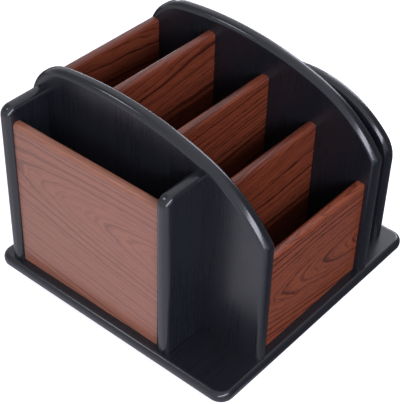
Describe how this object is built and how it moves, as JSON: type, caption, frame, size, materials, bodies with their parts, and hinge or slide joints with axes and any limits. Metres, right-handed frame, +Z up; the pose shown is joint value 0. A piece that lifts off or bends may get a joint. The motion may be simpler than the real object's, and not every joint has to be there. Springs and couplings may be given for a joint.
{
  "type": "rotating desk organizer",
  "caption": "Turntable desk organizer: two arched black side panels with stepped wood-grain dividers between them, a side pocket and a side bay, on a square plate over a round foot.",
  "frame": {"origin": "centre of the footprint on the surface that the organizer stands on, on the turning axis", "axes": "+Z up, -Y towards the low front, +X towards the side with the small arched panel"},
  "size_m": [0.2496, 0.2454, 0.2065],
  "materials": {
    "black_lacquer": "satin black lacquer on fibreboard",
    "wood_veneer": "red-brown figured veneer, satin",
    "foot_lacquer": "black painted fibreboard",
    "beech_dowel": "plain beech",
    "zinc_steel": "zinc plated",
    "bearing_aluminium": "turned",
    "bearing_steel": "polished",
    "cage_nylon": "natural moulded",
    "rubber_pad": "matt"
  },
  "bodies": {
    "carousel": {"back_board": "wood_veneer", "base_plate": "black_lacquer", "bearing_upper_ring": "bearing_aluminium", "divider_dowels": "beech_dowel", "front_board": "wood_veneer", "front_divider": "wood_veneer", "left_arch_panel": "black_lacquer", "middle_divider": "wood_veneer", "outer_right_panel": "black_lacquer", "panel_screws": "zinc_steel", "pocket_dowels": "beech_dowel", "pocket_front_wall": "black_lacquer", "pocket_rear_wall": "black_lacquer", "pocket_side_panel": "wood_veneer", "rear_divider": "wood_veneer", "right_arch_panel": "black_lacquer", "side_bay_dowels": "beech_dowel", "side_bay_front_board": "wood_veneer", "side_bay_rear_board": "wood_veneer", "upper_ring_screws": "zinc_steel"},
    "foot": {"bearing_balls": "bearing_steel", "bearing_cage": "cage_nylon", "bearing_lower_ring": "bearing_aluminium", "foot_disc": "foot_lacquer", "foot_pads": "rubber_pad", "lower_ring_screws": "zinc_steel"}
  },
  "joints": [
    {"name": "turntable", "type": "hinge", "parent": "foot", "child": "carousel", "pos_m": [0, 0, 0.014], "axis": [0, 0, 1], "continuous": true}
  ]
}
